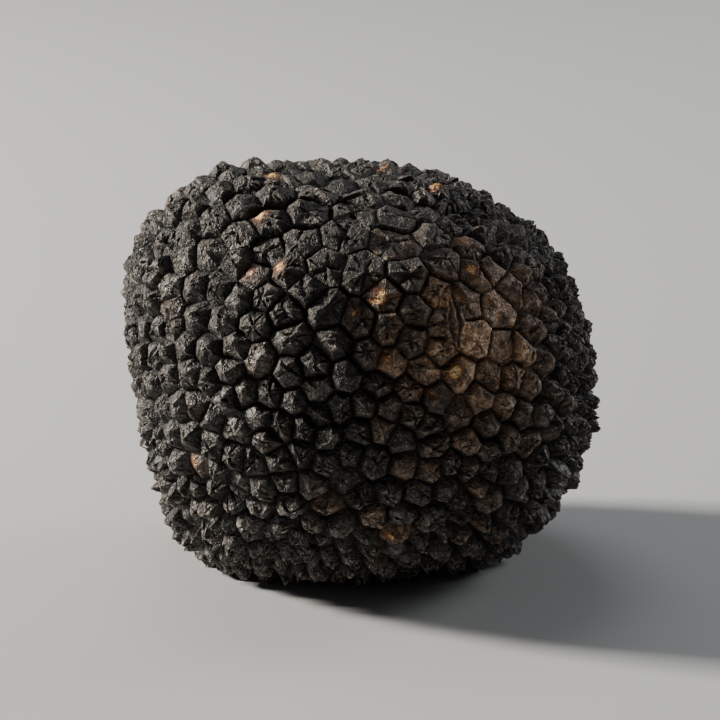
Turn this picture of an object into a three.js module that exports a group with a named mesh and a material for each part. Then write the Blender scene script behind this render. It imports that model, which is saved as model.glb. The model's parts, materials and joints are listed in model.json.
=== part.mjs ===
// A black truffle: one solid lump whose whole skin is broken into polygonal warts.
// Each wart is a low pyramid. Its foot is the groove that it shares with its neighbours.
//
// Millimetres, +Z up, +X to the right and +Y to the back. The truffle rests on a small worn
// flat in the plane z = 0, and the origin is the middle of its outline in that plane.

import * as THREE from 'three';
import { ConvexHull } from 'three/addons/math/ConvexHull.js';

// Driving dimensions

const truffle = { width: 48, depth: 45, height: 42.4 };

// The body under the warts: half axes, and how boxy it is (2 would be an ellipsoid).
const body = { halfWidth: 23.4, halfDepth: 22.4, halfHeight: 20.6, boxiness: 2.2 };

// Where the body leaves that plain form: outwards for a rise above 0, inwards below it.
// A spread is the angle in radians over which a swelling fades to about a third.
const swellings = [
  { name: 'left brow', toward: [-0.55, -0.1, 0.83], rise: 3, spread: 0.36 },
  { name: 'left shoulder', toward: [-0.85, -0.1, 0.45], rise: 1.6, spread: 0.36 },
  { name: 'left cheek', toward: [-1, 0, 0], rise: -1.6, spread: 0.4 },
  { name: 'left waist', toward: [-0.9, -0.1, -0.4], rise: -1.4, spread: 0.36 },
  { name: 'left foot', toward: [-0.65, -0.1, -0.7], rise: 2, spread: 0.36 },
  { name: 'right cheek', toward: [1, -0.1, -0.05], rise: 1.3, spread: 0.6 },
  { name: 'right foot', toward: [0.75, 0, -0.75], rise: 2, spread: 0.45 },
  { name: 'front belly', toward: [0.1, -1, -0.15], rise: 1.0, spread: 0.6 },
  { name: 'back hollow', toward: [0.35, 0.9, 0.35], rise: -1.4, spread: 0.35 },
  { name: 'back knuckle', toward: [-0.5, 0.85, -0.1], rise: 1.2, spread: 0.4 },
];

// Shallow dimples and humps all over the body, placed at random.
const undulation = { count: 60, rise: 0.5, spread: 0.2 };

// Gaps between wart centres, in radians seen from the middle of the body.
const wartGap = 0.101;
const wartGapSpread = 0.34; // share by which a gap varies from wart to wart
const wartGapChanges = [
  { name: 'broad plates above the front', toward: [0.02, -0.58, 0.8], change: 1.15, spread: 0.33 },
  { name: 'worn plates on the right brow', toward: [0.57, -0.72, 0.39], change: 0.3, spread: 0.28 },
  { name: 'fine grain round the right side', toward: [0.95, 0.1, 0.1], change: -0.28, spread: 0.45 },
  { name: 'small warts below the front', toward: [-0.3, -0.4, -0.9], change: -0.2, spread: 0.6 },
  { name: 'broad plates at the back', toward: [-0.4, 0.8, 0.3], change: 0.3, spread: 0.4 },
];
const relaxPasses = 1; // how often each wart settles into the middle of its own outline

const wart = {
  rise: 0.5, // of the tip above the body, on a wart of the usual size
  riseSpread: 0.35, // share by which that varies from wart to wart
  tipShift: 0.22, // most that a tip stands off its wart's middle, as a share of the wart's radius
  usualRadius: 1.6,
  grooveDepth: 0.4,
  grooveSpread: 0.3,
  shortestSide: 0.6, // a groove shorter than this closes to a point
};

const flatDepth = 1.4; // how much of the underside the worn flat takes off
const scatterTries = 40000;
const seed = 28;

// Numbers and directions

function seededRandom(start) {
  let state = start;
  return () => {
    state = (state + 0x6d2b79f5) | 0;
    let mixed = Math.imul(state ^ (state >>> 15), 1 | state);
    mixed = (mixed + Math.imul(mixed ^ (mixed >>> 7), 61 | mixed)) ^ mixed;
    return ((mixed ^ (mixed >>> 14)) >>> 0) / 2 ** 32;
  };
}

const random = seededRandom(seed);
const between = (low, high) => low + (high - low) * random();
const unit = ([x, y, z]) => new THREE.Vector3(x, y, z).normalize();

function randomDirection() {
  const height = between(-1, 1);
  const turn = between(0, 2 * Math.PI);
  const out = Math.sqrt(1 - height * height);
  return new THREE.Vector3(out * Math.cos(turn), out * Math.sin(turn), height);
}

// 1 in the middle of a patch of the body, fading to 0 around it.
function nearness(direction, middle, spread) {
  return Math.exp(-((direction.angleTo(middle) / spread) ** 2));
}

// The body

const humps = [
  ...swellings.map(({ toward, rise, spread }) => ({ middle: unit(toward), rise, spread })),
  ...Array.from({ length: undulation.count }, () => ({
    middle: randomDirection(),
    rise: between(-undulation.rise, undulation.rise),
    spread: undulation.spread,
  })),
];

function bodyRadius(direction) {
  const { halfWidth, halfDepth, halfHeight, boxiness } = body;
  const sum =
    Math.abs(direction.x / halfWidth) ** boxiness +
    Math.abs(direction.y / halfDepth) ** boxiness +
    Math.abs(direction.z / halfHeight) ** boxiness;
  const plain = sum ** (-1 / boxiness);
  return humps.reduce((r, h) => r + h.rise * nearness(direction, h.middle, h.spread), plain);
}

// The warts' pattern

const gapChanges = wartGapChanges.map((g) => ({ ...g, middle: unit(g.toward) }));

function gapAt(direction) {
  const share = gapChanges.reduce((s, g) => s + g.change * nearness(direction, g.middle, g.spread), 1);
  return wartGap * share;
}

// Directions thrown at random, each kept only if it has its gap to all the others.
function scatterCentres() {
  const centres = [];
  for (let i = 0; i < scatterTries; i++) {
    const direction = randomDirection();
    const gap = gapAt(direction) * (1 + between(-wartGapSpread, wartGapSpread));
    if (centres.every((c) => c.direction.angleTo(direction) > (c.gap + gap) / 2)) {
      centres.push({ direction, gap });
    }
  }
  return centres.map((c) => c.direction);
}

// The triangles between neighbouring centres, as faces of the hull of all the centres.
function neighbourTriangles(centres) {
  const index = new Map(centres.map((c, i) => [c, i]));
  return new ConvexHull().setFromPoints(centres).faces.map((face) => {
    const corners = [face.getEdge(0), face.getEdge(1), face.getEdge(2)];
    return corners.map((edge) => index.get(edge.head().point));
  });
}

// The direction with the same angle to a triangle's three centres, where three grooves meet.
function grooveMeeting([a, b, c]) {
  const across = new THREE.Vector3().subVectors(b, a);
  const along = new THREE.Vector3().subVectors(c, a);
  const out = across.cross(along).normalize();
  return out.dot(a) < 0 ? out.negate() : out;
}

// A pattern of warts: where grooves meet, as directions, and each wart's ring of meetings.
function patternAround(centres) {
  const triangles = neighbourTriangles(centres);
  const meetings = triangles.map((corners) => grooveMeeting(corners.map((i) => centres[i])));
  const rings = centres.map(() => []);
  triangles.forEach((corners, t) => corners.forEach((i) => rings[i].push(t)));
  return { triangles, meetings, rings };
}

const middleOf = (directions) =>
  directions.reduce((sum, d) => sum.add(d), new THREE.Vector3()).normalize();

function relaxedPattern() {
  let centres = scatterCentres();
  for (let pass = 0; pass < relaxPasses; pass++) {
    const { meetings, rings } = patternAround(centres);
    centres = rings.map((ring) => middleOf(ring.map((m) => meetings[m])));
  }
  return patternAround(centres);
}

// Pairs of meetings at the two ends of one groove.
function grooveEnds(triangles) {
  const ends = new Map();
  triangles.forEach((corners, t) => {
    corners.forEach((a, k) => {
      const b = corners[(k + 1) % 3];
      const key = `${Math.min(a, b)} ${Math.max(a, b)}`;
      ends.set(key, [...(ends.get(key) ?? []), t]);
    });
  });
  return [...ends.values()];
}

// The same pattern with each very short groove closed to one meeting.
function joinShortGrooves({ triangles, meetings, rings }) {
  const nameOf = meetings.map((_, m) => m);
  const taken = new Set();
  for (const [m, n] of grooveEnds(triangles)) {
    const length = meetings[m].angleTo(meetings[n]) * bodyRadius(meetings[m]);
    if (length < wart.shortestSide && !taken.has(m) && !taken.has(n)) {
      nameOf[n] = m;
      meetings[m].add(meetings[n]).normalize();
      taken.add(m).add(n);
    }
  }
  return { meetings, rings: rings.map((ring) => [...new Set(ring.map((m) => nameOf[m]))]) };
}

// A wart's meetings in order round its middle, counterclockwise from outside.
function inTurn(ring, meetings, middle) {
  const side = Math.abs(middle.z) < 0.9 ? new THREE.Vector3(0, 0, 1) : new THREE.Vector3(1, 0, 0);
  const right = new THREE.Vector3().crossVectors(side, middle).normalize();
  const up = new THREE.Vector3().crossVectors(middle, right);
  const turnOf = (m) => Math.atan2(meetings[m].dot(up), meetings[m].dot(right));
  return [...ring].sort((m, n) => turnOf(m) - turnOf(n));
}

// The skin

function buildSkin() {
  const { meetings, rings } = joinShortGrooves(relaxedPattern());
  const points = [];
  const grooveNumber = new Map();
  for (const m of new Set(rings.flat())) {
    const depth = wart.grooveDepth * (1 + between(-wart.grooveSpread, wart.grooveSpread));
    const radius = bodyRadius(meetings[m]) - depth;
    grooveNumber.set(m, points.push(meetings[m].clone().multiplyScalar(radius)) - 1);
  }

  const faces = [];
  for (const ring of rings) {
    const middle = middleOf(ring.map((m) => meetings[m]));
    const reach = ring.reduce((sum, m) => sum + meetings[m].angleTo(middle), 0) / ring.length;
    const shift = randomDirection().multiplyScalar(wart.tipShift * reach * random());
    const tip = middle.clone().add(shift).normalize();
    const size = (reach * bodyRadius(tip)) / wart.usualRadius;
    const rise = wart.rise * size * (1 + between(-wart.riseSpread, wart.riseSpread));
    const tipNumber = points.push(tip.multiplyScalar(bodyRadius(tip) + rise)) - 1;
    const outline = inTurn(ring, meetings, middle).map((m) => grooveNumber.get(m));
    outline.forEach((groove, k) => {
      faces.push(tipNumber, groove, outline[(k + 1) % outline.length]);
    });
  }
  return { points, faces };
}

// Presses the underside flat, stands it on z = 0 and brings the whole to its real size.
function standOnFlat(points) {
  const floor = Math.min(...points.map((p) => p.z)) + flatDepth;
  points.forEach((p) => (p.z = Math.max(p.z, floor)));
  const box = new THREE.Box3().setFromPoints(points);
  const middle = box.getCenter(new THREE.Vector3()).setZ(floor);
  const extent = box.getSize(new THREE.Vector3());
  const scale = new THREE.Vector3(truffle.width, truffle.depth, truffle.height).divide(extent);
  points.forEach((p) => p.sub(middle).multiply(scale));
}

function buildTruffle() {
  const { points, faces } = buildSkin();
  standOnFlat(points);
  const geometry = new THREE.BufferGeometry().setFromPoints(points).setIndex(faces);
  geometry.computeVertexNormals();
  const skin = new THREE.MeshStandardMaterial({ color: 0x1d1a18, roughness: 0.6, metalness: 0 });
  const mesh = new THREE.Mesh(geometry, skin);
  mesh.name = 'truffle';
  return mesh;
}

const model = new THREE.Group();
model.add(buildTruffle());

export default model;
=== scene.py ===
# Black truffle: warts, star cracks and a coal-black rind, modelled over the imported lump
import json
import math
import random

import bpy
import bmesh
import numpy as np
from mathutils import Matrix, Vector, noise

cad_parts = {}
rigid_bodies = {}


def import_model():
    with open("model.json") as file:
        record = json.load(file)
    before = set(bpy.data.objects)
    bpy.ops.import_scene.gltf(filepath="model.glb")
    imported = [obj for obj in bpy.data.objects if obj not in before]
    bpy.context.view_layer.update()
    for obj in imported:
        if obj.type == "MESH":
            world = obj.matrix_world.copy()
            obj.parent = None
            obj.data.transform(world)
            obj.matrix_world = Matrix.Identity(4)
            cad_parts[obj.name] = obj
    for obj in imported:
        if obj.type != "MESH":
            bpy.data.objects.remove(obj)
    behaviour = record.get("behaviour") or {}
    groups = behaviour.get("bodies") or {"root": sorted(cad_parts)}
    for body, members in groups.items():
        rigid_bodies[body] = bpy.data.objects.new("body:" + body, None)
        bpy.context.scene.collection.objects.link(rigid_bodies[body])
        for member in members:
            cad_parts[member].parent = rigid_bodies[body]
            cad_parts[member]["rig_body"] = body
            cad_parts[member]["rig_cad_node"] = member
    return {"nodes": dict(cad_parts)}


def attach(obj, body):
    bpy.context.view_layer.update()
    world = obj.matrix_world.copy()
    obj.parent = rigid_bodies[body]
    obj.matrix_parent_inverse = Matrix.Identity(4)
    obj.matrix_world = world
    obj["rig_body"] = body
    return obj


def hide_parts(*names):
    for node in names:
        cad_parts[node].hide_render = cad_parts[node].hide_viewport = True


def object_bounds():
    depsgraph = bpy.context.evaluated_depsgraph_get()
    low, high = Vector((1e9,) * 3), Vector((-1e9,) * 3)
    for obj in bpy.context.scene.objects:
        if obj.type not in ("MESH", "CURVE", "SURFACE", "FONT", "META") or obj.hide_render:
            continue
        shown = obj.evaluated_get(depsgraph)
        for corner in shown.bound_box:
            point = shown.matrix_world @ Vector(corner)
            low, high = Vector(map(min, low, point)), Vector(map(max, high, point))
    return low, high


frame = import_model()
cadLow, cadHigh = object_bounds()
mm = 0.001


def deselectAll():
    bpy.ops.object.select_all(action="DESELECT")


def makeActive(piece):
    deselectAll()
    piece.select_set(True)
    bpy.context.view_layer.objects.active = piece


def editAll(piece):
    makeActive(piece)
    bpy.ops.object.mode_set(mode="EDIT")
    bpy.ops.mesh.select_all(action="SELECT")


# a direction over the truffle: turn is from the front towards the right, lift is above level
def toward(turn, lift):
    turn, lift = math.radians(turn), math.radians(lift)
    flat = math.cos(lift)
    return np.array([math.sin(turn) * flat, -math.cos(turn) * flat, math.sin(lift)])


# 1 in the middle of a patch, fading to 0 round it; spread in degrees
def nearness(directions, middle, spread):
    angle = np.arccos(np.clip(directions @ middle, -1, 1))
    return np.exp(-((angle / math.radians(spread)) ** 2))


def smoothStep(low, high, value):
    share = np.clip((value - low) / (high - low), 0, 1)
    return share * share * (3 - 2 * share)


def toUnit(vectors):
    return vectors / np.linalg.norm(vectors, axis=-1, keepdims=True)


truffle = {
    "node": "truffle",
    "slot": "truffle_skin",
    "mergeGap": 0.001,       # mm; points closer than this are made one
    "bend": 0.25,            # how far a groove bends at its middle
    "cuts": 6,               # new points along each side of a half facet
    "mostFaces": 198000,     # the finished piece is thinned to this
    "crispAngle": 24,        # degrees; edges sharper than this are shaded crisp
    "mapCells": (3, 2),      # how the six sides of the map for baking are laid out
    "mapMargin": 0.94,       # share of its cell that a side fills
    "seeds": {"noise": 11, "grooves": 11, "shape": 13, "amber": 14, "colour": 15},
}


def copyNode(nodeName, pieceName):
    makeActive(frame["nodes"][nodeName])
    bpy.ops.object.duplicate()
    piece = bpy.context.object
    bpy.ops.object.parent_clear(type="CLEAR_KEEP_TRANSFORM")
    piece.name = piece.data.name = pieceName
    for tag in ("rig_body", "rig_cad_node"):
        del piece[tag]
    piece.data.materials.clear()
    bpy.ops.mesh.customdata_custom_splitnormals_clear()
    editAll(piece)
    bpy.ops.mesh.remove_doubles(threshold=truffle["mergeGap"] * mm)
    bpy.ops.object.mode_set(mode="OBJECT")
    return piece


# every facet has one tip and, across from it, a groove: walk over the facets from the highest tip
def findTips(shape):
    highest = max(shape.verts, key=lambda v: v.co.z)
    start = highest.link_faces[0]
    tipOf = {start: highest}
    waiting = [start]
    while waiting:
        face = waiting.pop()
        for edge in face.edges:
            for other in edge.link_faces:
                if other not in tipOf:
                    sameWart = tipOf[face] in edge.verts
                    across = [v for v in other.verts if v not in edge.verts][0]
                    tipOf[other] = tipOf[face] if sameWart else across
                    waiting.append(other)
    return sorted(set(tipOf.values()), key=lambda v: v.index)


# lowers every tip to the level of its grooves, and draws how deep each groove is
def lowerTips(piece):
    draw = random.Random(truffle["seeds"]["grooves"])
    shape = bmesh.new()
    shape.from_mesh(piece.data)
    tipMark = shape.verts.layers.float.new("tip")
    grooveMark = shape.faces.layers.float.new("groove")
    for tip in findTips(shape):
        tip[tipMark] = 1
        ring = [e.other_vert(tip).co for e in tip.link_edges]
        drop = (tip.co - sum(ring, Vector()) / len(ring)).dot(tip.normal)
        tip.co -= tip.normal * drop
    for edge in shape.edges:
        if not any(v[tipMark] for v in edge.verts):
            depth = draw.random()
            for face in edge.link_faces:
                face[grooveMark] = depth
    shape.to_mesh(piece.data)
    shape.free()


# a new point in the middle of each groove, joined to the tips on both sides
def splitFacets(piece):
    makeActive(piece)
    bpy.ops.object.mode_set(mode="EDIT")
    bpy.ops.mesh.select_mode(type="EDGE")
    bpy.ops.mesh.select_all(action="DESELECT")
    shape = bmesh.from_edit_mesh(piece.data)
    tipMark = shape.verts.layers.float["tip"]
    for edge in shape.edges:
        if not any(v[tipMark] for v in edge.verts):
            edge.select_set(True)
    bmesh.update_edit_mesh(piece.data)
    bend, seed = truffle["bend"], truffle["seeds"]["grooves"]
    bpy.ops.mesh.subdivide(number_cuts=1, ngon=False, fractal=bend, seed=seed)
    bpy.ops.object.mode_set(mode="OBJECT")


# notes on the mesh each point's way out, and each facet's wart and how far its groove is from the tip
def markWarts(piece):
    shape = bmesh.new()
    shape.from_mesh(piece.data)
    shape.normal_update()
    tipMark = shape.verts.layers.float["tip"]
    outMark = shape.verts.layers.float_vector.new("out")
    wartMark = shape.faces.layers.int.new("wart")
    reachMark = shape.faces.layers.float.new("reach")
    tips = [v for v in shape.verts if v[tipMark] == 1]
    for number, tip in enumerate(tips):
        for face in tip.link_faces:
            a, b = [v.co for v in face.verts if v is not tip]
            face[wartMark] = number
            face[reachMark] = (tip.co - a).cross(tip.co - b).length / (a - b).length / mm
    for vert in shape.verts:
        vert[outMark] = vert.normal
    shape.to_mesh(piece.data)
    shape.free()
    return len(tips)


def readAll(items, name, width=1, kind=float):
    values = np.empty(len(items) * width, kind)
    items.foreach_get(name, values)
    return values.reshape(-1, width) if width > 1 else values


def readMark(mesh, name, field="value", width=1, kind=float):
    return readAll(mesh.attributes[name].data, field, width, kind)


# where the skin differs: turn and lift of a patch's middle and how far it spreads, in degrees
patches = {
    "plates": (3, 48, 27),        # broad plates above the front
    "crown": (-40, 76, 28),
    "brow": (-55, 42, 30),
    "worn": (38, 23, 17),         # worn warts on the right brow
    "right": (85, -5, 42),
    "left": (-80, 5, 35),
    "brown": (36, 22, 19),
    "belowBrown": (30, -20, 30),
}
lowSkin = (0, -0.7)               # z of the way out: skin below the first is low, below the second fully
roughPatches = {"right": 1, "left": 0.6, "low": 0.4}
onTip, offGroove = 0.999, 0.0001  # the tip mark is 1 on a tip and 0 in a groove
acrossFrom = (0.3, 0.2, 1)        # the two ways across a wart are square to it and to this


class Skin:
    # the truffle's points in mm, with what each knows about its own wart and the patches
    def __init__(self, mesh, warts):
        count = len(mesh.vertices)
        self.warts = warts
        self.place = readAll(mesh.vertices, "co", 3) / mm
        self.tip = readMark(mesh, "tip")
        self.inside = self.tip > offGroove
        self.out = toUnit(readMark(mesh, "out", "vector", 3))
        corners = readAll(mesh.polygons, "vertices", 3, int).ravel()
        shared = np.bincount(corners, minlength=count)

        def ofFaces(name):
            return np.bincount(corners, np.repeat(readMark(mesh, name), 3), count) / shared

        self.reach, self.groove = ofFaces("reach"), ofFaces("groove")
        self.wart = np.zeros(count, int)
        self.wart[corners] = np.repeat(readMark(mesh, "wart", kind=int), 3)
        middle = np.array(cadLow + cadHigh) / 2 / mm
        self.way = toUnit(self.place - middle)
        atTip = self.tip > onTip
        self.centre, self.up = np.zeros((2, self.warts, 3))
        self.centre[self.wart[atTip]] = self.place[atTip]
        self.up[self.wart[atTip]] = self.out[atTip]
        self.wartWay = toUnit(self.centre - middle)
        self.side = toUnit(np.cross(self.up, acrossFrom))
        self.along = np.cross(self.up, self.side)
        self.findPatches()

    def findPatches(self):
        self.on = {"everywhere": 1}
        for name, (turn, lift, spread) in patches.items():
            self.on[name] = nearness(self.way, toward(turn, lift), spread)
        self.on["low"] = smoothStep(*lowSkin, self.way[:, 2])
        self.on["fine"] = np.clip(self.on["right"] + self.on["low"], 0, 1)
        self.on["rough"] = self.most(roughPatches)

    # the greatest of some patches, each times its share
    def most(self, shares):
        return np.maximum.reduce([share * self.on[name] for name, share in shares.items()])

    # a value that changes on some patches
    def changed(self, value, changes):
        for name, change in changes.items():
            value = value + change * self.on[name]
        return value

    # the wart that stands nearest to a direction
    def wartAt(self, turn, lift):
        return (self.wartWay @ toward(turn, lift)).argmax()

    # one draw for each wart, given to all its points
    def each(self, pick):
        return np.array([pick() for _ in range(self.warts)])[self.wart]


# rows of points, which move out towards the grooves so that flanks are crisp at their foot
rows = {
    "first": 0.12,       # mm from a groove to the first row up the flank
    "leastReach": 0.5,   # mm from tip to groove; smaller warts are treated as this
    "mostPower": 1.4,    # how far rows may crowd
}


def crowdRows(skin):
    inner = skin.inside & (skin.tip < onTip)
    reach = np.maximum(skin.reach, rows["leastReach"])
    power = np.log(reach / rows["first"]) / math.log(truffle["cuts"] + 1)
    crowded = np.where(inner, skin.tip ** np.clip(power, 1, rows["mostPower"]), skin.tip)
    pull = np.ones(len(skin.tip))
    pull[inner] = (1 - crowded[inner]) / (1 - skin.tip[inner])
    own = skin.centre[skin.wart]
    skin.place = np.where(inner[:, None], own + (skin.place - own) * pull[:, None], skin.place)
    skin.fromGroove = crowded * skin.reach
    offset = skin.place - own
    skin.flatX = (offset * skin.side[skin.wart]).sum(1)
    skin.flatY = (offset * skin.along[skin.wart]).sum(1)


noiseShifts = {  # so that no two noises are alike
    "stray": (3, 0, 0), "scar": (0, 0, 4), "crumbs": (0, 4, 0), "fineCrumbs": (0, 7, 0),
    "swell": (0, 5, 0), "sway": (0, 0, 9), "fineSway": (7, 0, 0),
}


def noiseAt(places, scale, name):
    shift = Vector(noiseShifts[name])
    return np.array([noise.noise(Vector(p) / scale + shift) for p in places])


def wanderAt(places, scale, name):
    shift = Vector(noiseShifts[name])
    return np.array([noise.noise_vector(Vector(p) / scale + shift) for p in places])


wartForm = {  # sizes in mm
    "usualReach": 1.35,      # from a usual wart's tip to its groove
    "sizeRange": (0.5, 2),   # of a wart against a usual one
    "sizePower": 0.6,        # how much its size shows in its height
    "height": 1.35,          # from a groove up to a usual wart's tip
    "heightSpread": 0.2,
    "sunkShare": 0.05,       # warts that stand low among the others
    "sunkDrop": 0.4,
    "higher": {"fine": 0.25, "low": 0.15},
    "lower": {"plates": 0.45, "worn": 0.35, "crown": 0.35},
    "facets": (3, 5),        # planes that a wart's top is split into
    "facetTurn": 0.3,        # how unevenly they stand round the tip
    "facetDrop": (0.15, 1),  # how far such a plane falls from the tip to the groove
    "facetShift": 0.15,
    "flatter": {"plates": 0.75, "worn": 0.55},
    "softness": 0.035,       # how rounded the edges between planes are
}

flank = {  # the climb from a groove to a wart's top
    "width": (0.4, 0.9),     # as a share of the way to the tip
    "narrower": {"plates": 0.72, "worn": 0.6},
    "wider": {"rough": 0.15},
    "curve": (1, 1.4),       # 1 for a flat flank, 2 for a rounded one
    "straighter": {"rough": -1},
}

grooveForm = {
    "depths": (0.15, 0.65),  # a groove drawn below the first is shallow, above the second deep
    "shallower": {"plates": -0.3},
    "keptDeep": {"fine": -0.8},
    "shallowRise": 0.2,      # of a shallow groove, as a share of a usual wart's height
    "higher": {"plates": 0.12},
}


def wartHeight(skin, draw):
    spread = wartForm["heightSpread"]
    tall = skin.each(lambda: draw.uniform(1 - spread, 1 + spread))
    sunk = skin.each(lambda: draw.random() < wartForm["sunkShare"])
    height = wartForm["height"] * skin.size * tall * (1 - wartForm["sunkDrop"] * sunk)
    return height * skin.changed(1, wartForm["higher"]) * (1 - skin.most(wartForm["lower"]))


# the planes that split each wart's top, as rows of height at the tip and fall along two ways
def splitPlanes(skin, draw):
    most = wartForm["facets"][1]
    uneven = wartForm["facetTurn"]
    planes = np.zeros((skin.warts, most, 3))
    for wart in planes:
        count = draw.randint(*wartForm["facets"])
        start = draw.uniform(0, 2 * math.pi)
        for plane in range(most):
            turn = start + 2 * math.pi * (plane % count + draw.uniform(-uneven, uneven)) / count
            drop = draw.uniform(*wartForm["facetDrop"])
            shift = draw.uniform(0, wartForm["facetShift"])
            wart[plane] = shift, drop * math.cos(turn), drop * math.sin(turn)
    return planes


# the lower of two heights, with the edge between them rounded off
def softLeast(a, b):
    softness = wartForm["softness"]
    share = np.clip(0.5 + 0.5 * (b - a) / softness, 0, 1)
    return b + (a - b) * share - softness * share * (1 - share)


# how high the cut wart stands over its groove; skin.shallow is 1 where that groove is shallow
def gemRise(skin, draw):
    planes = splitPlanes(skin, draw)[skin.wart]
    top = wartHeight(skin, draw)
    fall = skin.size * (1 - skin.most(wartForm["flatter"])) / skin.reach
    levels = [top - plane[:, 0] - fall * (plane[:, 1] * skin.flatX + plane[:, 2] * skin.flatY)
              for plane in np.moveaxis(planes, 1, 0)]
    rise = levels[0]
    for level in levels[1:]:
        rise = softLeast(rise, level)
    width = skin.each(lambda: draw.uniform(*flank["width"])) * (1 - skin.most(flank["narrower"]))
    width *= skin.changed(1, flank["wider"])
    curve = skin.each(lambda: draw.uniform(*flank["curve"])) ** skin.changed(1, flank["straighter"])
    climb = 1 - (1 - np.clip(skin.fromGroove / (width * skin.reach), 0, 1)) ** curve
    drawn = skin.changed(skin.groove, grooveForm["shallower"])
    skin.shallow = 1 - smoothStep(*grooveForm["depths"], drawn)
    skin.shallow *= skin.changed(1, grooveForm["keptDeep"])
    shallowRise = skin.changed(grooveForm["shallowRise"], grooveForm["higher"])
    start = wartForm["height"] * shallowRise * skin.shallow
    climbed = start + (np.maximum(top, start) - start) * climb
    return np.maximum(softLeast(rise, climbed), start)


star = {  # narrow cracks that part a wart's top; sizes in mm
    "share": 0.6,            # warts that have them
    "moreShare": 0.4,        # on broad plates and rough patches
    "offset": 0.2,           # of their middle from the tip, as a share of the way to the groove
    "rays": (3, 7),
    "moreRays": 2,           # on the broad plates
    "rayTurn": 0.35,         # how unevenly they stand round their middle
    "length": (0.3, 0.95),   # as a share of the way to the groove
    "width": 0.17,
    "wider": 0.9,            # on the broad plates
    "taper": 0.5,            # share of its width that a ray loses to its end
    "depth": (0.12, 0.36),
    "rim": (0, 0.2),         # cracks fade in over this far from a groove
    "deeper": {"rough": 0.7},
    "stray": 0.3,            # how far they bend
    "straySize": 0.8,
}


# how deep the star cracks are; skin.crack is 1 along a crack's middle and 0 beside it
def starCracks(skin, draw):
    order = np.argsort(skin.wart, kind="stable")
    first = np.searchsorted(skin.wart[order], np.arange(skin.warts + 1))
    stray = wanderAt(skin.place, star["straySize"], "stray") * star["stray"]
    offset, uneven = star["offset"], star["rayTurn"]
    depth = np.zeros(len(order))
    skin.crack = np.zeros(len(order))
    for wart in range(skin.warts):
        mine = order[first[wart]:first[wart + 1]]
        broad = skin.on["plates"][mine].mean()
        rough = skin.on["rough"][mine].mean()
        if draw.random() > star["share"] + star["moreShare"] * max(broad, rough):
            continue
        reach = skin.reach[mine].mean()
        spot = np.stack([skin.flatX[mine] + stray[mine, 0], skin.flatY[mine] + stray[mine, 1]], 1)
        spot -= [draw.uniform(-offset, offset) * reach, draw.uniform(-offset, offset) * reach]
        count = draw.randint(*star["rays"]) + round(star["moreRays"] * broad)
        start = draw.uniform(0, 2 * math.pi)
        for k in range(count):
            turn = start + 2 * math.pi * (k + draw.uniform(-uneven, uneven)) / count
            ray = np.array([math.cos(turn), math.sin(turn)])
            length = draw.uniform(*star["length"]) * reach
            along = np.clip(spot @ ray, 0, length)
            away = np.linalg.norm(spot - along[:, None] * ray, axis=1)
            width = star["width"] * (1 + star["wider"] * broad) * (1 - star["taper"] * along / length)
            inCrack = np.clip(1 - away / width, 0, 1)
            deep = draw.uniform(*star["depth"]) * inCrack
            depth[mine] = np.maximum(depth[mine], deep)
            skin.crack[mine] = np.maximum(skin.crack[mine], inCrack)
    skin.crack *= skin.inside
    return depth * skin.inside


amber = {
    "warts": [  # turn and lift in degrees, size in mm of the glint
        (7, 33, 1.1), (2, 28, 0.5), (-54, 65, 0.7), (-33, 52, 0.75), (-20, 42, 0.75), (-37, 37, 0.65),
        (9, 19, 0.55), (26, 13, 0.9), (44, 40, 0.6), (40, 33, 0.7), (34, 31, 0.5), (82, 80, 0.7),
        (66, 66, 0.7), (-76, 9, 0.6), (-42, -13, 0.6), (13, -33, 0.5), (-77, 38, 0.5), (24, 4, 0.45),
    ],
    "more": 10,                  # at random on the far side
    "moreWithin": ((80, 280), (-50, 80), (0.3, 0.6)),  # their turn, lift and size
    "flank": (-0.8, -0.1, 0.6),  # towards the key light's side of its wart, where a spot and its painted glint sit
    "fromTip": 0.5,              # as a share of the way to the groove
    "smooth": (-0.3, 0.2),       # the mark's values over which the skin turns smooth
}


# above 0 inside an amber spot, whose pale heart is a painted glint, and lower the further away it is
def amberMark(skin):
    draw = random.Random(truffle["seeds"]["amber"])
    more = [[draw.uniform(*limits) for limits in amber["moreWithin"]] for _ in range(amber["more"])]
    mark = np.full(len(skin.way), -1.0)
    for turn, lift, size in amber["warts"] + more:
        wart = skin.wartAt(turn, lift)
        up = skin.up[wart]
        aside = toUnit(amber["flank"] - up * (up @ amber["flank"]))
        spot = skin.centre[wart] + aside * amber["fromTip"] * skin.reach[skin.wart == wart].mean()
        gap = np.linalg.norm(skin.place - spot, axis=1)
        mark = np.maximum(mark, min(size, 1) * (1 - gap / size))
    return mark


scar = {  # long folds that run together at both ends; sizes in mm
    "toward": (27, 24),  # turn and lift in degrees
    "lean": 0.08,        # to the right, against upright
    "length": 6.5,
    "width": 2.4,
    "thinEnd": 0.02,     # of the width, left at both ends
    "folds": 3,
    "low": 0.5,          # height between the folds
    "height": 0.45,      # of a fold above that
    "waver": 0.22,
    "waverSize": 0.9,
    "rim": (1, 0.7),     # shares of the half width over which it fades in
    "strength": 1.5,     # above 1, more of it is at its full height
}


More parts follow.
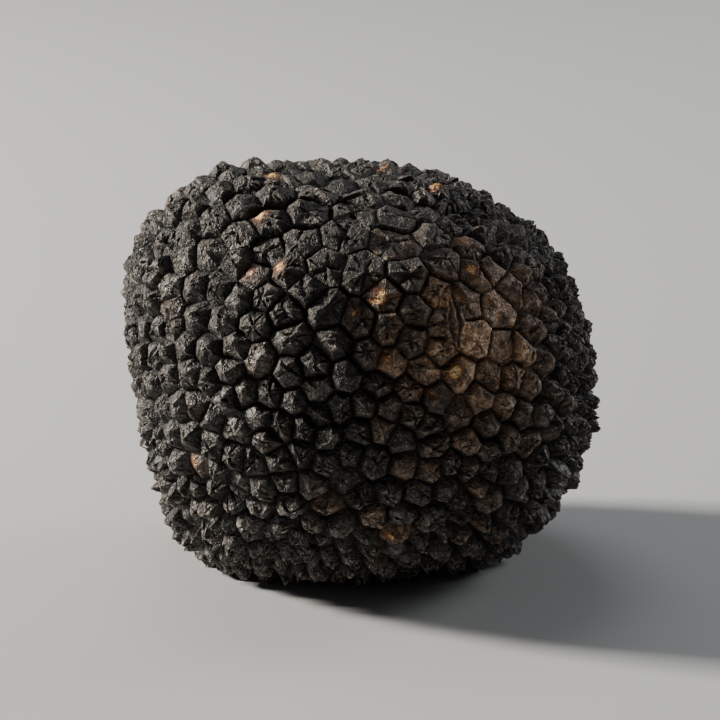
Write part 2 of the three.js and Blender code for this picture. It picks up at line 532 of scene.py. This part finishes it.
# lays the scar over the warts; skin.scar is 1 on it, and skin.fold is 1 on a fold's crest
def foldScar(skin, rise):
    near = (skin.way @ toward(*scar["toward"])).argmax()
    out = skin.out[near]
    upright = np.array((scar["lean"], 0, 1))
    along = toUnit(upright - out * (upright @ out))
    across = np.cross(along, out)
    offset = skin.place - skin.place[near]
    offset += wanderAt(skin.place, scar["waverSize"], "scar") * scar["waver"]
    down = np.clip(2 * (offset @ along) / scar["length"], -1, 1)
    side = 2 * (offset @ across) / scar["width"] / np.maximum(1 - down * down, scar["thinEnd"])
    skin.scar = smoothStep(*scar["rim"], np.abs(side))
    skin.scar *= smoothStep(scar["length"], 0, np.linalg.norm(offset, axis=1))
    skin.scar = np.clip(scar["strength"] * skin.scar, 0, 1)
    skin.fold = 0.5 + 0.5 * np.cos(math.pi * scar["folds"] * side)
    folded = scar["low"] + scar["height"] * skin.fold
    return rise * (1 - skin.scar) + folded * skin.scar


breaks = {  # how the planes are broken up; sizes in mm
    "rim": (0, 0.3),         # from a groove, where breaks fade in
    "chipSize": 0.9,
    "chipDepth": (0, 0.34),  # some warts keep clean planes
    "whole": {"plates": 0.5, "worn": 0.3},  # where chips are shallower
    "moreChips": {"rough": 0.35},
    "chipTilts": 37,         # large enough to give every chip a tilt of its own
    "smallChips": 0.55,      # size of the small ones against the others
    "smallDepth": 0.35,      # on rough patches only
    "crumbSize": 0.5,
    "crumbDepth": 0.075,
    "crumbShare": 0.6,
    "fineCrumbs": 0.6,       # size of the fine ones against the others
    "fineShare": 0.5,
    "lowCrumbs": 0.35,       # share of them that shows near a groove
    "highCrumbs": 0.65,      # added to it further up
    "high": (0.25, 0.9),     # from a groove, where they are added
    "moreCrumbs": {"rough": 0.8},
    "swell": 0.12,           # slow ups and downs over several planes
    "swellSize": 1.9,
}


# small broken planes, each tilted its own way
def chipsAt(places, scale):
    half = Vector((0.5, 0.5, 0.5))
    rises = []
    for place in places:
        spot = Vector(place) / scale
        _, points = noise.voronoi(spot)
        tilt = noise.cell_vector(points[0] * breaks["chipTilts"]) - half
        rises.append((spot - points[0]).dot(tilt))
    return np.array(rises)


def crumbsAt(skin):
    size = breaks["crumbSize"]
    coarse = breaks["crumbShare"] * noiseAt(skin.place, size, "crumbs")
    fine = breaks["fineShare"] * np.abs(noiseAt(skin.place, size * breaks["fineCrumbs"], "fineCrumbs"))
    high = smoothStep(*breaks["high"], skin.fromGroove)
    shown = breaks["lowCrumbs"] + breaks["highCrumbs"] * high
    return (coarse + fine) * breaks["crumbDepth"] * shown * skin.changed(1, breaks["moreCrumbs"])


def riseOf(skin):
    draw = random.Random(truffle["seeds"]["shape"])
    size = np.clip(skin.reach / wartForm["usualReach"], *wartForm["sizeRange"])
    skin.size = size ** wartForm["sizePower"]
    rise = gemRise(skin, draw)
    skin.amber = amberMark(skin)
    broken = 1 - smoothStep(*amber["smooth"], skin.amber)
    cracks = starCracks(skin, draw) * smoothStep(*star["rim"], skin.fromGroove)
    rise -= cracks * skin.changed(1, star["deeper"]) * broken
    rise = foldScar(skin, rise)
    rim = smoothStep(*breaks["rim"], skin.fromGroove)
    depth = skin.each(lambda: draw.uniform(*breaks["chipDepth"])) * (1 - skin.most(breaks["whole"]))
    depth = skin.changed(depth, breaks["moreChips"])
    rise += chipsAt(skin.place, breaks["chipSize"]) * depth * rim * broken
    small = chipsAt(skin.place, breaks["chipSize"] * breaks["smallChips"])
    rise += small * breaks["smallDepth"] * skin.on["rough"] * rim
    rise += crumbsAt(skin)
    rise += breaks["swell"] * noiseAt(skin.place, breaks["swellSize"], "swell")
    return rise


sway = {  # how outlines stray sideways, in mm
    "by": 0.12,
    "size": 1.7,
    "fineShare": 0.5,
    "fineSize": 0.5,
}

foot = {  # the warts that the truffle rests on, worn level with the table, in mm
    "fade": (0.1, 1.4),  # heights between which the wear ends
    "grooveRise": 0.4,   # how far grooves stay above the table
    "grooveWidth": 0.3,
}


def shapeWarts(piece, warts):
    mesh = piece.data
    skin = Skin(mesh, warts)
    crowdRows(skin)
    rise = riseOf(skin)
    sideways = wanderAt(skin.place, sway["size"], "sway") * sway["by"]
    sideways += wanderAt(skin.place, sway["fineSize"], "fineSway") * sway["by"] * sway["fineShare"]
    sideways -= skin.out * (sideways * skin.out).sum(1)[:, None]

    shaped = skin.place + sideways + skin.out * rise[:, None]
    worn = (1 - smoothStep(*foot["fade"], skin.place[:, 2]))[:, None]
    level = skin.place + sideways
    sunk = 1 - smoothStep(0, foot["grooveWidth"], skin.fromGroove)
    level[:, 2] = skin.place[:, 2] + foot["grooveRise"] * sunk
    shaped = shaped * (1 - worn) + level * worn
    shaped[:, 2] = np.maximum(shaped[:, 2], 0)
    mesh.vertices.foreach_set("co", (shaped * mm).ravel())
    mesh.update()
    return skin


# how far each point stands above its neighbours, against its distance from them: 1 on a sharp edge
def sharpness(mesh):
    ends = readAll(mesh.edges, "vertices", 2, int)
    place = readAll(mesh.vertices, "co", 3) / mm
    out = readAll(mesh.vertex_normals, "vector", 3)
    count = len(place)
    step = place[ends[:, 1]] - place[ends[:, 0]]
    length = np.linalg.norm(step, axis=1)
    drop = np.zeros(count)
    spacing = np.zeros(count)
    for own, way in ((ends[:, 0], -1), (ends[:, 1], 1)):
        drop += np.bincount(own, (way * step * out[own]).sum(1), count)
        spacing += np.bincount(own, length, count)
    return drop / spacing


def addMark(mesh, name, values):
    values = np.asarray(values, np.float32)
    wide = values.ndim > 1
    mark = mesh.attributes.new(name, "FLOAT_VECTOR" if wide else "FLOAT", "POINT")
    mark.data.foreach_set("vector" if wide else "value", values.ravel())


marks = {  # what the finish reads from the mesh
    "paintedShadeWidth": 0.3,          # mm from a groove's middle to full coal: the width of the painted shade in grooves
    "lessPaintedShade": 0.14,          # less painted shade where grooves are shallow or warts flat
    "morePaintedShade": 0.27,          # more painted shade where warts are fine, on the right and low down
    "shallowLevel": 0.35,      # how far a shallow groove between plates is lifted out of the painted shade towards coal
    # relief also sets how many pale specks show, which are partly painted glints
    "relief": {"plates": -0.45, "rough": 0.5, "low": 0.4, "brow": 0.35},
    "browHighlight": 0.1,           # painted highlight: how much lighter the edges of the lit brow are drawn
    "foldCrestHighlight": 0.4,           # painted highlight on the scar's crests
    "plate": {"plates": 1, "worn": 0.6},
    "brown": {                 # range that each wart's brown is drawn from, none below 0
        "brown": (0.35, 1.95),
        "belowBrown": (-0.5, 0.25),
        "everywhere": (-0.5, 0.06),
    },
    "brownWarts": [            # turn and lift in degrees, how much browner
        (16, 49, 0.17), (25, 36, 0.2), (9, 19, 0.3), (9, 13, 0.2), (-7, -21, 0.25), (3, -27, 0.3),
        (12, -30, 0.3), (29, -19, 0.2), (37, -34, 0.25), (-42, -14, 0.12), (-35, 37, 0.05),
        (-20, 42, 0.06), (9, 1, 0.06),
    ],
}


# painted shade: 0 in a groove and 1 up on the skin, so grooves are drawn dark where shade falls; on the
# scar, half between the folds, as painted shade, and 1 on their crests
def grooveShadeMark(skin):
    flat = np.maximum(skin.shallow, skin.most({"plates": 1, "worn": 1}))
    width = marks["paintedShadeWidth"] - marks["lessPaintedShade"] * flat + marks["morePaintedShade"] * skin.on["fine"]
    level = smoothStep(0, width, skin.fromGroove)
    level = np.maximum(level, marks["shallowLevel"] * skin.shallow * skin.on["plates"])
    return level + (0.5 + 0.5 * skin.fold - level) * skin.scar


def brownMark(skin, draw):
    brown = 0
    for patch, limits in marks["brown"].items():
        brown = brown + skin.each(lambda: max(draw.uniform(*limits), 0)) * skin.on[patch]
    for turn, lift, more in marks["brownWarts"]:
        brown[skin.wart == skin.wartAt(turn, lift)] += more
    return brown


def markColours(mesh, skin):
    draw = random.Random(truffle["seeds"]["colour"])
    # edges lighter partly from wear and partly as painted highlight; on the lit brow and the scar's
    # crests only painted highlight
    edge = sharpness(mesh) + marks["browHighlight"] * skin.on["brow"]
    edge += marks["foldCrestHighlight"] * skin.scar * skin.fold
    addMark(mesh, "level", grooveShadeMark(skin))
    addMark(mesh, "crack", skin.crack)
    addMark(mesh, "plate", skin.most(marks["plate"]))
    addMark(mesh, "relief", skin.changed(1, marks["relief"]))
    addMark(mesh, "edge", edge)
    addMark(mesh, "earth", brownMark(skin, draw))
    addMark(mesh, "amber", skin.amber)
    tone = skin.each(draw.random)
    addMark(mesh, "onWart", np.stack([skin.flatX, skin.flatY, tone], 1))
    addMark(mesh, "way", skin.way)


# fewer faces, with no point of the foot below the table
def thin(piece):
    makeActive(piece)
    fewer = piece.modifiers.new("fewer", "DECIMATE")
    fewer.ratio = truffle["mostFaces"] / len(piece.data.polygons)
    bpy.ops.object.modifier_apply(modifier=fewer.name)
    for point in piece.data.vertices:
        point.co.z = max(point.co.z, 0)


# a map for baking: the six sides of a cube round the truffle, laid out in cells
def layOut(piece):
    mesh = piece.data
    way = toUnit(readMark(mesh, "way", "vector", 3))
    corners = readAll(mesh.polygons, "vertices", 3, int)
    middle = way[corners].mean(1)
    axis = np.abs(middle).argmax(1)
    facing = np.sign(np.take_along_axis(middle, axis[:, None], 1))[:, 0]
    side = axis * 2 + (facing > 0)
    places = np.empty((len(corners), 3, 2))
    for k, (across, up) in enumerate(((1, 2), (2, 0), (0, 1))):
        mine = axis == k
        depth = np.abs(way[corners[mine]][:, :, k])
        for j, other in enumerate((across, up)):
            places[mine, :, j] = np.arctan2(way[corners[mine]][:, :, other], depth) / (math.pi / 2)
        places[mine, :, 0] *= facing[mine, None]
    columns = truffle["mapCells"][0]
    cell = np.stack([side % columns, side // columns], 1)[:, None]
    spread = (cell + 0.5 + places * truffle["mapMargin"]) / truffle["mapCells"]
    layer = mesh.uv_layers.new(name="OFBake")
    layer.uv.foreach_set("vector", spread.astype(np.float32).ravel())


def makeTruffle():
    noise.seed_set(truffle["seeds"]["noise"])  # else wandering noise starts from the clock
    piece = copyNode(truffle["node"], "black_truffle")
    lowerTips(piece)
    splitFacets(piece)
    warts = markWarts(piece)
    print("truffle: warts", warts, "half facets", len(piece.data.polygons))
    editAll(piece)
    bpy.ops.mesh.subdivide(number_cuts=truffle["cuts"])
    bpy.ops.object.mode_set(mode="OBJECT")
    print("truffle: faces to shape", len(piece.data.polygons))
    skin = shapeWarts(piece, warts)
    markColours(piece.data, skin)
    thin(piece)
    print("truffle: faces kept", len(piece.data.polygons))
    layOut(piece)
    for name in ("tip", "out", "wart", "reach", "groove", "way"):
        piece.data.attributes.remove(piece.data.attributes[name])
    makeActive(piece)
    bpy.ops.object.shade_smooth_by_angle(angle=math.radians(truffle["crispAngle"]))
    return piece


# shader sums written as plain expressions
class Shade:
    def __init__(self, tree, socket):
        self.tree, self.socket = tree, socket

    def math(self, operation, other, swap=False):
        node = self.tree.nodes.new("ShaderNodeMath")
        node.operation = operation
        sides = (other, self) if swap else (self, other)
        for slot, side in zip(node.inputs, sides):
            if isinstance(side, Shade):
                self.tree.links.new(side.socket, slot)
            else:
                slot.default_value = side
        return Shade(self.tree, node.outputs[0])

    def __add__(self, other):
        return self.math("ADD", other)

    def __radd__(self, other):
        return self.math("ADD", other)

    def __sub__(self, other):
        return self.math("SUBTRACT", other)

    def __rsub__(self, other):
        return self.math("SUBTRACT", other, True)

    def __mul__(self, other):
        return self.math("MULTIPLY", other)

    def __rmul__(self, other):
        return self.math("MULTIPLY", other)


class Finish:
    # a material, and the one way to add a node to it
    def __init__(self, name):
        self.material = bpy.data.materials.new(name)
        self.material.use_nodes = True
        self.tree = self.material.node_tree
        self.inputs = self.tree.nodes["Principled BSDF"].inputs

    def feed(self, socket, value):
        if isinstance(value, Shade):
            self.tree.links.new(value.socket, socket)
        else:
            socket.default_value = value

    def node(self, kind, settings, inputs, output=0):
        node = self.tree.nodes.new("ShaderNode" + kind)
        for name, value in settings.items():
            setattr(node, name, value)
        for name, value in inputs.items():
            self.feed(node.inputs[name], value)
        return Shade(self.tree, node.outputs[output])

    def mark(self, name, output="Fac"):
        return self.node("Attribute", {"attribute_name": name}, {}, output)

    def vector(self, operation, a, b=None, output="Vector"):
        inputs = {0: a} if b is None else {0: a, 1: b}
        return self.node("VectorMath", {"operation": operation}, inputs, output)

    def noise(self, place, scale, detail, roughness, output="Fac"):
        inputs = {"Vector": place, "Scale": scale, "Detail": detail, "Roughness": roughness}
        return self.node("TexNoise", {}, inputs, output)

    def cells(self, place, scale, feature, distance="EUCLIDEAN"):
        settings = {"feature": feature, "distance": distance}
        return self.node("TexVoronoi", settings, {"Vector": place, "Scale": scale}, "Distance")

    def step(self, value, low, high):
        inputs = {"Value": value, "From Min": low, "From Max": high}
        return self.node("MapRange", {"interpolation_type": "SMOOTHSTEP"}, inputs)

    def larger(self, a, b):
        return self.node("Math", {"operation": "MAXIMUM"}, {0: a, 1: b})

    def mix(self, share, a, b):
        factor, first, second, result = 0, 6, 7, 2  # a Mix node's colour sockets go by number
        return self.node("Mix", {"data_type": "RGBA"}, {factor: share, first: a, second: b}, result)


rindLook = {
    "colours": {
        # painted shade: the near-black that grooves, star cracks and fissures fade to
        "groove": (0.004, 0.0034, 0.003, 1),
        "coal": (0.028, 0.0235, 0.02, 1),
        # edges, partly real wear and partly a painted highlight
        "edgeWearAndSheen": (0.15, 0.127, 0.105, 1),
        "earth": (0.6, 0.33, 0.18, 1),
        # brown skin's edges, partly real wear and partly a painted highlight
        "earthWearAndSheen": (0.65, 0.43, 0.27, 1),
        # pale flecks, partly a painted glint
        "fleckAndGlint": (0.28, 0.235, 0.19, 1),
        # painted sparkle on brown skin
        "brownSparkle": (1, 0.75, 0.52, 1),
        "rust": (0.13, 0.05, 0.02, 1),
        "amberRim": (0.38, 0.12, 0.025, 1),
        "amberCore": (1, 0.62, 0.27, 1),
        # painted glint: the near-white heart of a large amber spot
        "amberPaintedGlint": (1, 0.8, 0.5, 1),
    },
    "noises": {                      # scale per metre, detail, roughness
        "grain": (3400, 4, 0.65),
        "mottle": (800, 3, 0.6),
        "speckle": (3900, 2, 0.5),
        "patchy": (700, 1, 0.5),
    },
    "wander": (1100, 2, 0.5),        # the noise that cracks and flakes stray by
    "wanderBy": 0.0009,              # metres
    "flakes": {"large": 2100, "small": 4700},
    "fissure": 850,
    "crackle": 1900,                 # finer, on the broad plates
    "fibres": (1, 3, 0.6),
    "fibresRound": 3.5,              # a larger value gives more fibres round a tip
    "fibreBend": 1.2,                # how fast they change on the way down
    "fibreShifts": (31, 57),         # give every wart fibres of its own
    "fades": {                       # the two values that a pattern fades between, from 0 to 1
        "fissure": (0, 0.07), "darkMottle": (0.64, 0.46), "crackle": (0, 0.14),
        "lightMottle": (0.35, 0.5), "cleft": (0.41, 0.34), "rubbedAndSheen": (0.34, 0.72),
        "brown": (0.5, 0.9), "nearTip": (1.3, 0.2), "flecksAndGlints": (0.66, 0.74), "rust": (-0.8, 0.15),
        "amberRim": (0.1, 0.25), "amberCore": (0.2, 0.45), "amberPaintedGlint": (0.5, 0.75),
        "broken": (0.42, 0.58),
    },
    "cleft": (0.4, 0.6),             # share everywhere, and what the plates add
    "crackDark": 0.8,                # how much darker a star crack is drawn, as painted shade
    # painted shade in the fine fissures
    "fissureDark": 0.7,
    "toneValue": 2.2,                # on a wart's tone cubed, so that few warts are much lighter
    "value": {"mottle": 0.7, "grain": 0.4, "plate": 0.3},
    "rubbedAndSheen": {"grain": 0.55},       # added to the edges, which are lighter partly from wear and partly as painted highlight
    "rubbedAndSheenShare": 0.6,
    "brown": {"grain": 0.5},         # added to the mottling
    "brownOpen": (0.2, 0.8),         # share everywhere, and what skin out of the painted shade adds
    # pale specks that are partly painted glints
    "flecksAndGlints": {"edge": 0.3, "nearTip": 0.06, "brown": 0.06},
    "fleckAndGlintShare": (0.6, 0.4),        # share everywhere, and what brown skin adds
    "amberBreak": 0.8,               # how far mottle and grain break a glint's outline
    "rustShare": 0.7,
    "specular": 0.55,
    "plainRoughness": 0.48,
    "roughness": {
        "tone": -0.12, "grain": 0.22, "glint": -0.3, "flecksAndGlints": -0.1, "brown": -0.1, "plate": 0.12,
    },
    "grainHeight": 0.08,             # heights are in mm
    "flakeHeight": (0.12, 0.05),     # of the large flakes, and what a tip adds
    "height": {"small": 0.08, "fibres": 0.1},
    "patchyHeight": (0.22, 0.5),     # share everywhere, and what broken skin adds
    "fissureDepth": 0.18,
    "bumpUnit": 0.001,               # metres for a mm
}


class Rind(Finish):
    # the truffle's skin: its patterns are kept by name, and its colour, roughness and bump add them up
    def __init__(self):
        super().__init__("truffleRind")
        self.place = self.node("TexCoord", {}, {}, "Object")
        self.onWart = self.mark("onWart", "Vector")
        self.tone = self.node("SeparateXYZ", {}, {"Vector": self.onWart}, "Z")
        for name in ("level", "crack", "plate", "relief", "edge", "earth", "amber"):
            setattr(self, name, self.mark(name))
        for name, values in rindLook["noises"].items():
            setattr(self, name, self.noise(self.place, *values))

    def fade(self, name, value):
        return self.step(value, *rindLook["fades"][name])

    # a start with some patterns added, each times its share
    def total(self, start, shares):
        for name, share in shares.items():
            start = start + share * getattr(self, name)
        return start

    # one share everywhere, and another that a pattern adds
    def share(self, name, pattern):
        plain, more = rindLook[name]
        return plain + more * pattern

    # fibres that run down from each wart's tip
    def addFibres(self):
        flat = self.vector("MULTIPLY", self.onWart, (1, 1, 0))
        way = self.vector("NORMALIZE", flat)
        far = self.vector("LENGTH", flat, output="Value")
        ring = self.vector("MULTIPLY", way, (rindLook["fibresRound"], rindLook["fibresRound"], 0))
        shiftX, shiftZ = rindLook["fibreShifts"]
        down = self.tone * shiftZ + far * rindLook["fibreBend"]
        shift = self.node("CombineXYZ", {}, {"X": self.tone * shiftX, "Z": down})
        place = self.vector("ADD", ring, shift)
        self.fibres = self.noise(place, *rindLook["fibres"])
        self.nearTip = self.fade("nearTip", far)

    # fine broken cracks all over, more of them where the mottling is dark, crackle on the plates,
    # clefts along the fibres, and flat little flakes in two sizes
    def addCracks(self):
        wander = self.noise(self.place, *rindLook["wander"], "Color")
        stray = self.vector("SUBTRACT", wander, (0.5, 0.5, 0.5))
        stray = self.vector("MULTIPLY", stray, (rindLook["wanderBy"],) * 3)
        place = self.vector("ADD", self.place, stray)
        for name, scale in rindLook["flakes"].items():
            setattr(self, name, self.cells(place, scale, "F1", "MANHATTAN"))
        gap = self.cells(place, rindLook["fissure"], "DISTANCE_TO_EDGE")
        fineGap = self.cells(place, rindLook["crackle"], "DISTANCE_TO_EDGE")
        fissure = (1 - self.fade("fissure", gap)) * self.fade("darkMottle", self.mottle)
        crackle = (1 - self.fade("crackle", fineGap)) * self.plate * self.fade("lightMottle", self.mottle)
        cleft = self.fade("cleft", self.fibres) * self.share("cleft", self.plate)
        self.fissure = self.larger(self.larger(fissure, crackle), cleft)
        # painted shade: grooves, star cracks and fissures are darkened in the colour
        dark = 1 - rindLook["fissureDark"] * self.fissure
        self.outOfPaintedShade = self.level * (1 - rindLook["crackDark"] * self.crack) * dark

    # coal-black skin, near black in its grooves and cracks as painted shade, lighter on its edges partly
    # from wear and partly as painted highlight, and earth-brown in places
    def coalAndEarth(self):
        paint = rindLook["colours"]
        value = rindLook["toneValue"] * self.tone * self.tone * self.tone
        value = self.total(value, rindLook["value"])
        colour = self.mix(self.outOfPaintedShade, paint["groove"], paint["coal"])
        colour = self.node("HueSaturation", {}, {"Value": value, "Color": colour}, "Color")
        rubbedAndSheen = self.fade("rubbedAndSheen", self.total(self.edge, rindLook["rubbedAndSheen"])) * self.level
        colour = self.mix(rindLook["rubbedAndSheenShare"] * rubbedAndSheen, colour, paint["edgeWearAndSheen"])
        patchy = self.fade("brown", self.total(self.mottle, rindLook["brown"]))
        self.brown = self.earth * patchy * self.share("brownOpen", self.outOfPaintedShade)
        earth = self.mix(rubbedAndSheen, paint["earth"], paint["earthWearAndSheen"])
        return self.mix(self.brown, colour, earth)

    # pale specks, most of them on edges and tips: partly real pale flecks and partly painted glints, and
    # on brown skin painted sparkles
    def addFlecksAndGlints(self, colour):
        paint = rindLook["colours"]
        self.flecksAndGlints = self.fade("flecksAndGlints", self.total(self.speckle, rindLook["flecksAndGlints"]))
        fleckAndGlint = self.mix(self.brown, paint["fleckAndGlint"], paint["brownSparkle"])
        shown = self.share("fleckAndGlintShare", self.brown) * self.flecksAndGlints * self.outOfPaintedShade * self.relief
        return self.mix(shown, colour, fleckAndGlint)

    # amber spots in a rusty stain: rim and core are their own amber colour, brightened to a near-white
    # heart that is a painted glint
    def addAmber(self, colour):
        paint = rindLook["colours"]
        near = self.amber
        for pattern in (self.mottle, self.grain):
            near = near + rindLook["amberBreak"] * (pattern - 0.5)
        self.glint = self.fade("amberRim", near)
        rust = rindLook["rustShare"] * self.fade("rust", near) * self.outOfPaintedShade
        colour = self.mix(rust, colour, paint["rust"])
        colour = self.mix(self.glint, colour, paint["amberRim"])
        for name in ("amberCore", "amberPaintedGlint"):
            colour = self.mix(self.fade(name, near), colour, paint[name])
        return colour

    def bump(self):
        height = rindLook["grainHeight"] * self.grain
        height = height + self.share("flakeHeight", self.nearTip) * self.large
        height = self.total(height, rindLook["height"])
        broken = self.share("patchyHeight", self.fade("broken", self.patchy))
        height = height * broken * self.relief - rindLook["fissureDepth"] * self.fissure
        return self.node("Bump", {}, {"Distance": rindLook["bumpUnit"], "Height": height})


def rindFinish():
    rind = Rind()
    rind.addFibres()
    rind.addCracks()
    colour = rind.addAmber(rind.addFlecksAndGlints(rind.coalAndEarth()))
    rind.feed(rind.inputs["Base Color"], colour)
    rind.feed(rind.inputs["Roughness"], rind.total(rindLook["plainRoughness"], rindLook["roughness"]))
    rind.feed(rind.inputs["Specular IOR Level"], rindLook["specular"])
    rind.feed(rind.inputs["Normal"], rind.bump())
    return rind.material


studio = {
    "floorSize": 12,
    "floorColour": (0.53, 0.545, 0.555, 1),
    "floorRoughness": 0.7,
    "skyColour": (0.7, 0.72, 0.75, 1),
    "skyStrength": 0.07,
    "aim": (0, 0, 0.02),  # what the lights point at
    "lights": {           # place, size, power, colour
        "keyLight": ((-0.58, 0.13, 0.28), 0.1, 11, (1, 0.94, 0.84)),
        "topLight": ((-0.1, 0.3, 0.6), 0.3, 0.8, (1, 1, 1)),
        "rimLight": ((0.5, 0.3, 0.25), 0.25, 1.5, (1, 1, 1)),
    },
    "lift": 16,           # degrees that the camera looks down
    "distance": 0.34,
    "nearest": 0.01,      # the camera sees nothing closer than this
    "lens": 165,
}


def addFloor():
    deselectAll()
    bpy.ops.mesh.primitive_plane_add(size=studio["floorSize"], location=(0, 0, 0))
    floor = bpy.context.object
    floor.name = "floor"
    paper = Finish("floorPaper")
    paper.feed(paper.inputs["Base Color"], studio["floorColour"])
    paper.feed(paper.inputs["Roughness"], studio["floorRoughness"])
    floor.data.materials.append(paper.material)


def addLight(name, place, size, power, colour):
    deselectAll()
    bpy.ops.object.light_add(type="AREA", location=place)
    light = bpy.context.object
    light.name = name
    light.data.size = size
    light.data.energy = power
    light.data.color = colour
    aim = Vector(studio["aim"]) - light.location
    light.rotation_euler = aim.to_track_quat("-Z", "Y").to_euler()


def addSky():
    sky = bpy.data.worlds.new("studioWorld")
    bpy.context.scene.world = sky
    sky.use_nodes = True
    background = sky.node_tree.nodes["Background"].inputs
    background["Color"].default_value = studio["skyColour"]
    background["Strength"].default_value = studio["skyStrength"]


def addCamera():
    deselectAll()
    lift = math.radians(studio["lift"])
    back = Vector((0, -math.cos(lift), math.sin(lift)))
    bpy.ops.object.camera_add(location=(cadLow + cadHigh) / 2 + back * studio["distance"])
    camera = bpy.context.object
    camera.name = "camera"
    camera.rotation_euler = (-back).to_track_quat("-Z", "Y").to_euler()
    camera.data.lens = studio["lens"]
    camera.data.clip_start = studio["nearest"]
    bpy.context.scene.camera = camera


body = makeTruffle()
body.data.materials.append(rindFinish())
print("rind: finished")
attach(body, "root")
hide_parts(truffle["node"])

addFloor()
for name, settings in studio["lights"].items():
    addLight(name, *settings)
addSky()
addCamera()
print("studio: ready")
